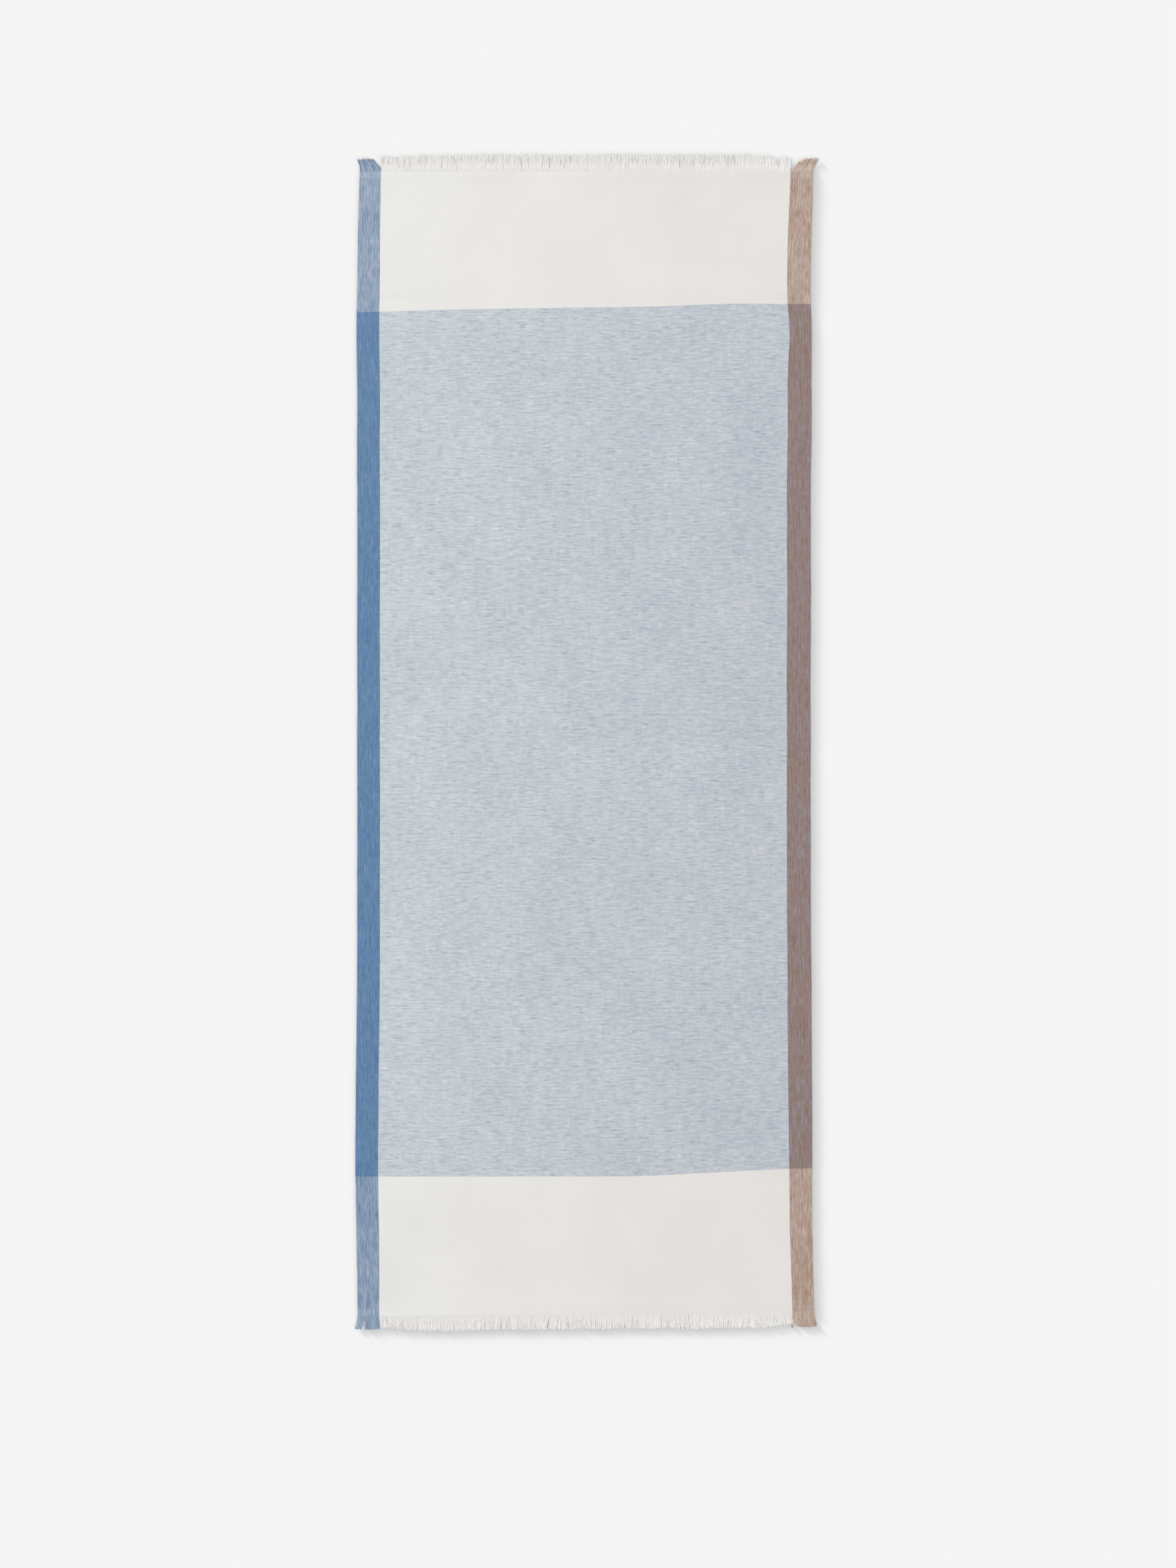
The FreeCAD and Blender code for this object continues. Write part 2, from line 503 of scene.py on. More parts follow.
def make_twist_group() -> bpy.types.NodeTree:
    """The twisted plies of a yarn on its own map: height of plies and loose fibres, and a shade that is
    painted shade in the grooves between plies and the uneven tone of the fibres.
    """
    bench, given, out = new_group("yarn_twist", ("Yarn", "Turns"), ("Height", "Shade"))
    around, along, _ = bench.split(given.outputs["Yarn"])
    turned = bench.times(along, given.outputs["Turns"])
    plies = bench.math("ADD", bench.times(around, 2.0), turned)
    wave = bench.math("ABSOLUTE", bench.math("SINE", bench.times(plies, math.pi)))
    fibre = bench.lumps(bench.times(around, 9), bench.times(along, 60), 1.0, 2.0)
    for name, ply_share, fibre_share in (("Height", 0.7, 0.5), ("Shade", 0.35, 0.65)):
        bench.feed(out.inputs[name], bench.added(wave, ply_share, bench.times(fibre, fibre_share)))
    return bench.tree


@dataclass(frozen=True)
class Effects:
    """The node groups that the finishes share."""

    weave: bpy.types.NodeTree = field(default_factory=make_weave_group)
    streaks: bpy.types.NodeTree = field(default_factory=make_streak_group)
    mottle: bpy.types.NodeTree = field(default_factory=make_mottle_group)
    twist: bpy.types.NodeTree = field(default_factory=make_twist_group)


def new_surface(name: str) -> tuple[bpy.types.Material, NodeBench, bpy.types.Node]:
    """A material with a matt Principled shader on its output."""
    material = bpy.data.materials.new(name)
    material.use_nodes = True
    bench = NodeBench(material.node_tree)
    shader = bench.add("ShaderNodeBsdfPrincipled")
    output = bench.add("ShaderNodeOutputMaterial")
    bench.feed(output.inputs["Surface"], shader.outputs["BSDF"])
    return material, bench, shader


def dress_fibre(
    bench: NodeBench, shader: bpy.types.Node, height: Socket, strength: float, depth: float
) -> None:
    """Gives a shader the soft sheen of fibre, and its relief.

    Args:
        bench: The material's bench.
        shader: Its shader.
        height: The relief, 0 to about 1.
        strength: How strongly it shows.
        depth: How deep it is.
    """
    shader.inputs["Specular IOR Level"].default_value = 0.25
    shader.inputs["Sheen Weight"].default_value = 0.08
    shader.inputs["Sheen Roughness"].default_value = 0.6
    bump = bench.add("ShaderNodeBump")
    bump.inputs["Strength"].default_value = strength
    bump.inputs["Distance"].default_value = depth
    bench.feed(bump.inputs["Height"], height)
    bench.feed(shader.inputs["Normal"], bump.outputs[0])


WEST_CAST: Colour = (0.985, 1.005, 1.000)
EAST_CAST: Colour = (1.005, 0.990, 0.990)


@dataclass(frozen=True)
class WovenFinish:
    """The cloth of one warp stripe, over both wefts.

    Attributes:
        name: The material's name.
        warp: Colour of the warp yarn.
        centre_weft: Colour of the slubby weft in the centre.
        end_weft: Colour of the weft in the ends.
        cover: Share of the face that the warp covers.
        end_cover: The same past the lock stitches, where the weft is beaten close.
        slubs: How much the weft's thick and thin places change that share.
        streaks: How much the warp's do.
        warp_tone: How much lighter the warp's thick places make the face.
        cover_drift: How much more the warp covers for each metre towards the south: painted shade, darker
            southwards, away from the light.
        weave_contrast: How clearly the single threads show.
        mottle: How much the share changes in soft patches.
        fine_tone: How much lighter or darker the small patches are.
        slub_tone: How strongly the slubby weft's own light and dark places show.
        warp_pitch: Distance from warp to warp.
        weft_pitch: Distance from weft to weft.
    """

    name: str
    warp: Colour
    centre_weft: Colour
    end_weft: Colour
    cover: float = 0.5
    end_cover: float = 0.5
    slubs: float = 0.12
    streaks: float = 0.10
    warp_tone: float = 0.0
    cover_drift: float = 0.0
    weave_contrast: float = 0.24
    mottle: float = 0.05
    fine_tone: float = 0.016
    slub_tone: float = 1.0
    warp_pitch: float = 0.62 * MM
    weft_pitch: float = 0.68 * MM

    def make(self, effects: Effects, plan: ClothPlan) -> bpy.types.Material:
        """Builds the material.

        Args:
            effects: The shared node groups.
            plan: The flat sizes, for where the weft changes.
        """
        material, bench, shader = new_surface(self.name)
        flat = bench.add("ShaderNodeUVMap", uv_map=FLAT_MAP).outputs[0]
        crosswise, lengthwise, _ = bench.split(flat)
        along = bench.math("ABSOLUTE", lengthwise)
        centre = bench.ramp(along, plan.end_fold + 0.5 * MM, plan.end_fold - 0.5 * MM)
        beaten = bench.ramp(along, plan.stitch_line - 0.6 * MM, plan.stitch_line + 0.6 * MM)
        mottle = self.effect(bench, effects.mottle, flat)
        streak = self.effect(bench, effects.streaks, flat)
        weave = self.effect(bench, effects.weave, flat)
        bench.feed(weave.inputs["Warp Pitch"], self.warp_pitch)
        bench.feed(weave.inputs["Weft Pitch"], self.weft_pitch)

        # how much of the face the warp covers; its lengthwise and crosswise leans are painted light, for
        # light falling from the north-west
        loose = bench.ramp(centre, 0.0, 1.0, 0.3, 1.0)
        share = bench.ramp(beaten, 0.0, 1.0, self.cover, self.end_cover)
        for change, amount in (
            # painted shade: the warp covers more towards the south, darker away from the light
            (lengthwise, -self.cover_drift),
            (bench.times(streak.outputs["Weft"], loose), -self.slubs),
            (bench.times(streak.outputs["Dash"], loose), -self.slubs),
            (streak.outputs["Warp"], self.streaks),
            (weave.outputs["Over"], self.weave_contrast),
            (mottle.outputs["Fine"], self.mottle),
            (mottle.outputs["Broad"], self.mottle),
            # painted light: the mix leans across the cloth, more ivory towards the west in the ground
            (crosswise, -0.10),
        ):
            share = bench.added(change, amount, share)
        weft = bench.blend(centre, self.end_weft, self.centre_weft)
        threads = bench.blend(bench.ramp(share, -0.15, 1.15), weft, self.warp)

        # how light the face is: its threads, the fold line and the stitch row, then painted light across and
        # along the cloth and its random soft changes
        # painted shade in the hollows between the threads, with a slight painted highlight on their crowns
        shade = bench.ramp(weave.outputs["Height"], 0.0, 0.5, 0.955, 1.012)
        fold_line = (plan.end_fold, 0.9 * MM, -0.05)
        # painted shade in the groove where the lock stitches pinch the cloth
        stitch_line = (plan.stitch_line, 0.8 * MM, -0.045)
        for line, reach, dark in (fold_line, stitch_line):
            off = bench.math("ABSOLUTE", bench.math("SUBTRACT", along, line))
            shade = bench.added(bench.ramp(off, reach, 0.2 * MM), dark, shade)
        for change, amount in (
            (mottle.outputs["Broad"], 0.05),
            # painted light: darker towards the east and lighter towards the north, for light falling from
            # the north-west
            (crosswise, -0.14),
            (lengthwise, 0.035),
            (mottle.outputs["Fine"], self.fine_tone),
            (streak.outputs["Warp"], self.warp_tone),
            (mottle.outputs["Fibre"], 0.03),
            (bench.times(streak.outputs["Weft"], centre), -0.105 * self.slub_tone),
            (bench.times(streak.outputs["Dash"], centre), -0.17 * self.slub_tone),
            (bench.times(streak.outputs["Speck"], centre), -0.15 * self.slub_tone),
            (bench.times(mottle.outputs["Fine"], centre), 0.03 * self.slub_tone),
        ):
            shade = bench.added(change, amount, shade)
        eastness = bench.ramp(crosswise, -plan.half_width, plan.half_width)
        colour = bench.add("ShaderNodeVectorMath", operation="MULTIPLY")
        bench.feed(colour.inputs[0], bench.tint(threads, shade))
        bench.feed(colour.inputs[1], bench.blend(eastness, WEST_CAST, EAST_CAST))
        bench.feed(shader.inputs["Base Color"], colour.outputs[0])

        rough = bench.ramp(mottle.outputs["Fibre"], -1.0, 1.0, 0.82, 0.98)
        bench.feed(shader.inputs["Roughness"], rough)
        height = bench.added(mottle.outputs["Fibre"], 0.15, weave.outputs["Height"])
        height = bench.added(streak.outputs["Weft"], bench.times(centre, 0.35), height)
        dress_fibre(bench, shader, height, strength=0.5, depth=0.09 * MM)
        return material

    @staticmethod
    def effect(bench: NodeBench, group: bpy.types.NodeTree, flat: Socket) -> bpy.types.Node:
        """A shared effect, placed in the material on the flat cloth's map."""
        node = bench.add("ShaderNodeGroup", node_tree=group)
        bench.feed(node.inputs["Flat"], flat)
        return node


@dataclass(frozen=True)
class YarnFinish:
    """Loose or sewn yarn, with its own map and a tone for each yarn.

    Attributes:
        name: The material's name.
        colour: The yarn's colour.
        dark: Its colour on darker yarns, and in the grooves of the twist as painted shade.
        turns: Twists along one yarn's map.
        root_shade: How much darker the yarn is at its root, as a factor: painted shade where the yarns pack
            into the weave by the cloth's edge, together with their tighter, less fuzzy roots.
        end_colour: Its colour past the end folds, where that differs.
        end_fold: How far the end folds are from the middle, where end_colour is given.
    """

    name: str
    colour: Colour
    dark: Colour
    turns: float = 14.0
    root_shade: float = 1.0
    end_colour: Colour | None = None
    end_fold: float = 0.0

    def make(self, effects: Effects) -> bpy.types.Material:
        """Builds the material.

        Args:
            effects: The shared node groups.
        """
        material, bench, shader = new_surface(self.name)
        yarn = bench.add("ShaderNodeUVMap", uv_map=YARN_MAP).outputs[0]
        twist = bench.add("ShaderNodeGroup", node_tree=effects.twist)
        bench.feed(twist.inputs["Yarn"], yarn)
        bench.feed(twist.inputs["Turns"], self.turns)
        own = bench.add("ShaderNodeAttribute", attribute_type="GEOMETRY", attribute_name=TONE)
        # painted shade: the yarn darkens in the grooves of its twist, mixed with each yarn's own random tone
        light = bench.added(own.outputs["Fac"], 0.55, bench.times(twist.outputs["Shade"], 0.6))
        colour = bench.blend(bench.ramp(light, 0.1, 0.95), self.dark, self.colour)
        if self.end_colour is not None:
            flat = bench.add("ShaderNodeUVMap", uv_map=FLAT_MAP).outputs[0]
            along = bench.math("ABSOLUTE", bench.split(flat)[1])
            past = bench.ramp(along, self.end_fold - MM, self.end_fold + MM)
            end_colour = bench.tint(self.end_colour, bench.ramp(light, 0.1, 0.95, 0.8, 1.0))
            colour = bench.blend(past, colour, end_colour)
        # partly painted shade: darker towards the root, where the yarns pack into the weave by the cloth's
        # edge
        if self.root_shade < 1:
            root = bench.ramp(bench.split(yarn)[1], 0.0, 0.45, self.root_shade, 1.0)
            colour = bench.tint(colour, root)
        bench.feed(shader.inputs["Base Color"], colour)
        rough = bench.ramp(twist.outputs["Height"], 0.0, 1.0, 0.98, 0.84)
        bench.feed(shader.inputs["Roughness"], rough)
        dress_fibre(bench, shader, twist.outputs["Height"], strength=0.6, depth=0.08 * MM)
        return material


@dataclass(frozen=True)
class FloorFinish:
    """A plain pale matt floor."""

    name: str = "pale_floor"
    colour: Colour = (0.80, 0.80, 0.80)

    def make(self) -> bpy.types.Material:
        """Builds the material."""
        material, _, shader = new_surface(self.name)
        shader.inputs["Base Color"].default_value = (*self.colour, 1)
        shader.inputs["Roughness"].default_value = 0.95
        shader.inputs["Specular IOR Level"].default_value = 0.0
        return material


# ---- shared making


def finished_piece(
    name: str, bm: bmesh.types.BMesh, material: bpy.types.Material
) -> bpy.types.Object:
    """Turns a finished bmesh into an object at the origin.

    Args:
        name: The piece's name.
        bm: Its shape, in the row frame; freed here.
        material: Its finish.

    Returns:
        The object, linked to the scene.
    """
    mesh = bpy.data.meshes.new(name)
    bm.to_mesh(mesh)
    bm.free()
    mesh.materials.append(material)
    piece = bpy.data.objects.new(name, mesh)
    bpy.context.scene.collection.objects.link(piece)
    return piece


def new_slug(sides: int, rings: int, tip: float) -> bmesh.types.BMesh:
    """A short straight length of yarn, 1 long from z = 0 and 1 in radius, with its yarn map.

    Args:
        sides: Sides around the yarn.
        rings: Rings between its ends.
        tip: Radius of its far end.

    Returns:
        The closed shape.
    """
    bm = bmesh.new()
    bmesh.ops.create_cone(bm, cap_ends=True, segments=sides, radius1=1.0, radius2=tip, depth=1.0)
    bmesh.ops.translate(bm, verts=bm.verts, vec=(0, 0, 0.5))
    uprights = [edge for edge in bm.edges if abs(edge.verts[0].co.z - edge.verts[1].co.z) > 0.5]
    bmesh.ops.subdivide_edges(bm, edges=uprights, cuts=rings)
    give_yarn_map(bm, lambda co: (math.atan2(co.y, co.x), co.z))
    for cap in (face for face in bm.faces if abs(face.normal.z) > 0.9):
        cap.smooth = False
        for edge in cap.edges:
            edge.smooth = False
    return bm


def give_yarn_map(bm: bmesh.types.BMesh, place: Callable[[Vector], tuple[float, float]]) -> None:
    """Maps a yarn's faces by the angle around it and the place along it.

    Args:
        bm: The yarn.
        place: Gives a point's angle around the yarn, and its place along it from 0 to 1.
    """
    layer = bm.loops.layers.uv.new(YARN_MAP)
    for face in bm.faces:
        face.smooth = True
        middle = place(face.calc_center_median())[0]
        for loop in face.loops:
            angle, along = place(loop.vert.co)
            away = (angle - middle + math.pi) % math.tau - math.pi
            loop[layer].uv = ((middle + away) / math.tau + 0.5, along)


class YarnHeap:
    """Collects many bent copies of one short yarn into one mesh."""

    def __init__(self, template: bmesh.types.BMesh) -> None:
        """Starts an empty heap of copies of this straight yarn, which is freed here."""
        self.template = bpy.data.meshes.new("yarn_template")
        template.to_mesh(self.template)
        template.free()
        self.bm = bmesh.new()
        self.bm.verts.layers.float.new(TONE)

    def add(self, bend: Callable[[Vector], Vector], flat: tuple[float, float], tone: float) -> None:
        """Adds one copy.

        Args:
            bend: Puts a point of the template in the row frame.
            flat: The copy's place on the flat cloth.
            tone: Its own lightness, 0 to 1.
        """
        old_verts, old_faces = len(self.bm.verts), len(self.bm.faces)
        self.bm.from_mesh(self.template)
        self.bm.verts.ensure_lookup_table()
        self.bm.faces.ensure_lookup_table()
        tones = self.bm.verts.layers.float[TONE]
        for vert in self.bm.verts[old_verts:]:
            vert.co = bend(vert.co)
            vert[tones] = tone
        layer = self.bm.loops.layers.uv.get(FLAT_MAP) or self.bm.loops.layers.uv.new(FLAT_MAP)
        for face in self.bm.faces[old_faces:]:
            for loop in face.loops:
                loop[layer].uv = flat

    def finish(self, name: str, material: bpy.types.Material) -> bpy.types.Object:
        """Closes the heap, as a piece of this name and finish."""
        bpy.data.meshes.remove(self.template)
        bmesh.ops.recalc_face_normals(self.bm, faces=self.bm.faces)
        return finished_piece(name, self.bm, material)


STEP_GROWTH = 0.35  # how fast the mesh's rows widen away from a bend
SLIVER = 0.4  # rows nearer than this share of the fine spacing are joined
SEAM_GAP = 40 * MM  # how far the rows part from a fold line
END_BEND = 2 * MM  # length of cloth that bends in an end fold
MIDDLE_BEND = (-1.5 * MM, 8 * MM)  # where the middle fold's bend starts and ends


@dataclass(frozen=True)
class ClothRow:
    """A length of the runner that is one piece in each stripe, and how it moves.

    Attributes:
        side: The half that it belongs to.
        stretch: The CAD stretch that it stands for.
        start: Its southern edge along the cloth.
        end: Its northern edge.
        bodies: The one body it rides on, or the two that it bends between.
        turn: Where along the cloth the bend starts and ends.
    """

    side: Side
    stretch: Stretch
    start: float
    end: float
    bodies: tuple[str, ...]
    turn: tuple[float, float] = (0.0, 0.0)

    @property
    def label(self) -> str:
        """The words that CAD nodes use for this row."""
        return f"{self.side.label}_{self.stretch.value}"

    def steps(self, coarse: float, fine: float) -> list[float]:
        """Places along the row for the mesh's rows, fine in its bend.

        Args:
            coarse: The usual spacing.
            fine: The spacing in the bend.

        Returns:
            The places in order, from start to end.
        """
        bend_start, bend_end = sorted(self.turn)
        bends = len(self.bodies) == 2
        marks = {self.start, self.end}
        place = self.start
        while place < self.end:
            marks.add(place)
            off = max(bend_start - place, place - bend_end, 0.0)
            ahead = place + (min(coarse, max(fine, STEP_GROWTH * off)) if bends else coarse)
            if bends and place < bend_start:
                ahead = min(ahead, max(bend_start, place + fine))
            place = ahead
        ordered = sorted(marks)
        gaps = zip(ordered, ordered[1:])
        return [place for place, after in gaps if after - place > SLIVER * fine] + [self.end]

    def hang(self, piece: bpy.types.Object) -> None:
        """Makes a finished piece of this row ride or bend with its bodies."""
        if len(self.bodies) == 1:
            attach(piece, self.bodies[0])
            return
        start, end = ((0.0, place, 0.0) for place in self.turn)
        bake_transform(piece, *self.bodies, start=start, end=end)


def runner_rows(plan: ClothPlan) -> list[ClothRow]:
    """The four rows from south to north, parted away from the fold lines."""
    fold, tip = plan.end_fold, plan.woven_end
    parting = fold - SEAM_GAP
    south, north = ("south_half", "south_end"), ("north_half", "north_end")
    halves = ("south_half", "north_half")
    return [
        ClothRow(Side.SOUTH, Stretch.END, -tip, -parting, south, (-fold, -fold - END_BEND)),
        ClothRow(Side.SOUTH, Stretch.CENTRE, -parting, SEAM_GAP, halves, MIDDLE_BEND),
        ClothRow(Side.NORTH, Stretch.CENTRE, SEAM_GAP, parting, ("north_half",)),
        ClothRow(Side.NORTH, Stretch.END, parting, tip, north, (fold, fold + END_BEND)),
    ]


# ---- the pieces


UPRIGHT_TO_X = Matrix.Rotation(math.pi / 2, 3, "Y")  # lays an upright yarn along x


@dataclass
class WovenCloth:
    """The woven cloth: one thin closed sheet for each stripe of each row.

    Attributes:
        lie: How the cloth lies.
        rows: Its rows from south to north.
        finishes: The finish of each stripe.
        across_step: Spacing of the mesh across the cloth.
        along_step: Spacing along it, away from the folds.
        fold_step: Spacing in a fold.
    """

    lie: ClothLie
    rows: list[ClothRow]
    finishes: dict[Stripe, bpy.types.Material]
    across_step: float = 4.6 * MM
    along_step: float = 4.8 * MM
    fold_step: float = 0.25 * MM

    def build(self) -> list[bpy.types.Object]:
        """Builds every sheet, from the south-west."""
        return [self.sheet(row, stripe) for row in self.rows for stripe in Stripe]

    def sheet(self, row: ClothRow, stripe: Stripe) -> bpy.types.Object:
        """Builds and dresses one stripe of one row, hangs it on its bodies and hides its CAD node."""
        low, high = self.lie.plan.edges[stripe]
        count = max(6, round((high - low) / self.across_step))
        columns = [low + (high - low) * i / count for i in range(count + 1)]
        rows = row.steps(self.along_step, self.fold_step)
        bm = self.shell(columns, rows)
        piece = finished_piece(f"cloth_{stripe.value}_{row.label}", bm, self.finishes[stripe])
        row.hang(piece)
        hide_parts(f"{stripe.value}_{row.label}")
        return piece

    def shell(self, columns: list[float], rows: list[float]) -> bmesh.types.BMesh:
        """Lays a thin closed grid, with its map, on these places across and along the cloth."""
        wide, long = len(columns) - 1, len(rows) - 1
        bm = bmesh.new()
        bmesh.ops.create_grid(bm, x_segments=wide, y_segments=long, size=0.5)
        bmesh.ops.solidify(bm, geom=bm.faces[:], thickness=1.0)
        heights = [vert.co.z for vert in bm.verts]
        middle = (min(heights) + max(heights)) / 2
        flat_map = bm.loops.layers.uv.new(FLAT_MAP)
        spots = {}
        for vert in bm.verts:
            across = columns[round((vert.co.x + 0.5) * wide)]
            along = rows[round((vert.co.y + 0.5) * long)]
            spots[vert] = (across, along, vert.co.z > middle)
        for face in bm.faces:
            rim = len({spots[vert][2] for vert in face.verts}) == 2
            face.smooth = not rim
            for loop in face.loops:
                across, along, _ = spots[loop.vert]
                loop[flat_map].uv = (across, along - self.lie.weft_bow(across, along))
        for edge in bm.edges:
            edge.smooth = all(face.smooth for face in edge.link_faces)
        for vert, (across, along, top) in spots.items():
            vert.co = self.lie.place(across, along, self.lie.face_height(along, top))
        bmesh.ops.recalc_face_normals(bm, faces=bm.faces)
        return bm


@dataclass
class SelvedgeLoops:
    """The small loops of weft that turn back at both long edges.

    Attributes:
        lie: How the cloth lies.
        rows: The cloth's rows.
        material: The weft's finish.
        pitch: Distance from loop to loop, two wefts.
        yarn: Thickness of the weft.
    """

    lie: ClothLie
    rows: list[ClothRow]
    material: bpy.types.Material
    pitch: float = 1.5 * MM
    yarn: float = 0.38 * MM

    def build(self) -> list[bpy.types.Object]:
        """Builds the loops of each edge of each row."""
        return [self.edge_loops(row, edge) for row in self.rows for edge in Selvedge]

    def loop_template(self) -> bmesh.types.BMesh:
        """One loop: half a turn of yarn, open to -x, about the origin."""
        bm = bmesh.new()
        reach = self.pitch / 4
        bmesh.ops.create_circle(bm, cap_ends=True, segments=6, radius=self.yarn / 2)
        bmesh.ops.rotate(bm, verts=bm.verts, cent=(0, 0, 0), matrix=UPRIGHT_TO_X)
        bmesh.ops.translate(bm, verts=bm.verts, vec=(0, -reach, 0))
        section = bm.faces[:] + bm.edges[:] + bm.verts[:]
        bmesh.ops.spin(bm, geom=section, cent=(0, 0, 0), axis=(0, 0, 1), angle=math.pi, steps=6)

        def around_along(co: Vector) -> tuple[float, float]:
            """A point's angle around the yarn, and its place along the half turn."""
            return math.atan2(co.z, co.xy.length - reach), math.atan2(co.x, -co.y) / math.pi

        give_yarn_map(bm, around_along)
        return bm

    def edge_loops(self, row: ClothRow, edge: Selvedge) -> bpy.types.Object:
        """Builds one edge of one row."""
        rng = random.Random(f"{row.label}{edge.name}")
        heap = YarnHeap(self.loop_template())
        half = self.lie.plan.half_width
        count = max(1, round((row.end - row.start) / self.pitch))
        for i in range(count):
            along = row.start + (i + 0.5) * (row.end - row.start) / count
            out = rng.uniform(-0.24, 0.02) * MM
            height = self.lie.plan.thickness / 2 + rng.uniform(-0.04, 0.05) * MM
            swing = rng.uniform(-0.15, 0.15)
            size = rng.uniform(0.88, 1.12)

            def bend(co: Vector, along: float = along) -> Vector:
                """Puts a point of one loop at the edge."""
                turned = co * size
                turned.rotate(Matrix.Rotation(swing, 3, "Z"))
                root = self.lie.place(edge.value * half, along + turned.y, height)
                return root + Vector((edge.value * (turned.x + out), 0, turned.z))

            heap.add(bend, (edge.value * half, along), rng.random())
        piece = heap.finish(f"selvedge_{edge.name.lower()}_{row.label}", self.material)
        row.hang(piece)
        return piece


@dataclass
class LockStitches:
    """The row of stitches that holds the last weft at each end, on both faces.

    Attributes:
        lie: How the cloth lies.
        material: The thread's finish, darker than the ivory thread as painted shade of the stitches'
            dimples.
        pitch: Distance from stitch to stitch.
        length: Length of a stitch.
        thread: Thickness of the thread.
        sink: How far a stitch's middle lies inside the face.
        arch: Height of a stitch on the top and on the bottom face, in threads.
    """

    lie: ClothLie
    material: bpy.types.Material
    pitch: float = 4.4 * MM
    length: float = 3.5 * MM
    thread: float = 0.46 * MM
    sink: float = 0.10 * MM
    arch: tuple[float, float] = (0.62, 0.4)

    def stitch_template(self) -> bmesh.types.BMesh:
        """One stitch: a short domed yarn along x about the origin, 1 in length and thickness."""
        bm = bmesh.new()
        bmesh.ops.create_uvsphere(bm, u_segments=8, v_segments=6, radius=0.5)
        bmesh.ops.rotate(bm, verts=bm.verts, cent=(0, 0, 0), matrix=UPRIGHT_TO_X)
        give_yarn_map(bm, lambda co: (math.atan2(co.z, co.y), co.x + 0.5))
        return bm

    def build(self) -> list[bpy.types.Object]:
        """Builds both rows of stitches."""
        return [self.stitch_row(side) for side in Side]

    def stitch_row(self, side: Side) -> bpy.types.Object:
        """Builds the stitches of one end."""
        rng = random.Random(f"stitches{side.name}")
        plan = self.lie.plan
        heap = YarnHeap(self.stitch_template())
        count = int(2 * plan.stitch_reach / self.pitch)
        for i in range(count):
            across = (i - (count - 1) / 2) * self.pitch
            for top in (True, False):
                along = side.value * plan.stitch_line + rng.uniform(-0.12, 0.12) * MM
                shift = self.pitch / 2 if not top else 0.0
                if abs(across + shift) > plan.stitch_reach - self.length / 2:
                    continue
                swing = rng.uniform(-0.06, 0.06)
                sink, arch = (self.sink, self.arch[0]) if top else (-self.sink, self.arch[1])
                height = self.lie.face_height(along, top) - sink
                long = self.length * rng.uniform(0.92, 1.06)

                def bend(co: Vector) -> Vector:
                    """Puts a point of one stitch on the cloth."""
                    x, y = co.x * long, co.y * self.thread
                    root = self.lie.place(across + shift + x, along + y + swing * x, height)
                    thick = arch * self.thread * (1 - 0.5 * (2 * co.x) ** 2)
                    return root + Vector((0, 0, co.z * thick))

                heap.add(bend, (across, along), rng.random())
        piece = heap.finish(f"stitches_{side.label}", self.material)
        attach(piece, f"{side.label}_end")
        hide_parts(f"lock_stitches_{side.label}")
        return piece


@dataclass(frozen=True)
class Bunch:
    """A bunch of neighbouring fringe yarns that lean together.

    Attributes:
        start: Western edge of its roots, as a share of the stripe.
        end: Eastern edge of its roots.
        lean: How far east its tips lie of its roots, in millimetres.
        close: How far its tips draw together, 0 to 1.
        length: Length of its yarns, in millimetres.
        bend: Power of its curve; 1 leans from the root, more leans later.
    """

    start: float
    end: float
    lean: float
    close: float
    length: float
    bend: float = 1.4


CORNER_BUNCHES: dict[tuple[Stripe, Side], list[Bunch]] = {
    (Stripe.BLUE, Side.NORTH): [
        Bunch(0.00, 0.16, -2.9, 0.05, 13.6, 2.6),
        Bunch(0.16, 0.34, -4.2, 0.00, 13.8, 1.8),
        Bunch(0.34, 0.56, -5.4, 0.05, 14.8, 1.4),
        Bunch(0.56, 0.84, -6.9, 0.10, 15.0, 1.3),
        Bunch(0.84, 1.00, -8.0, 0.20, 15.0, 1.7),
    ],
    (Stripe.BLUE, Side.SOUTH): [
        Bunch(0.00, 0.32, -3.0, 0.15, 14.8, 1.5),
        Bunch(0.32, 0.70, 0.6, 0.02, 15.2, 1.4),
        Bunch(0.70, 1.00, 0.2, 0.08, 15.0, 1.4),
    ],
    (Stripe.BROWN, Side.NORTH): [
        Bunch(0.00, 0.25, 8.2, 0.30, 13.0, 0.9),
        Bunch(0.25, 0.60, 7.2, 0.15, 15.4, 1.1),
        Bunch(0.60, 1.00, 6.8, 0.10, 15.8, 1.5),
    ],
    (Stripe.BROWN, Side.SOUTH): [
        Bunch(0.00, 0.07, -1.0, 0.00, 17.5, 1.0),
        Bunch(0.05, 0.30, 4.4, 0.30, 16.2, 2.6),
        Bunch(0.30, 0.70, 2.4, 0.02, 16.6, 1.6),
        Bunch(0.70, 1.00, 3.0, 0.00, 16.4, 1.6),
    ],
}


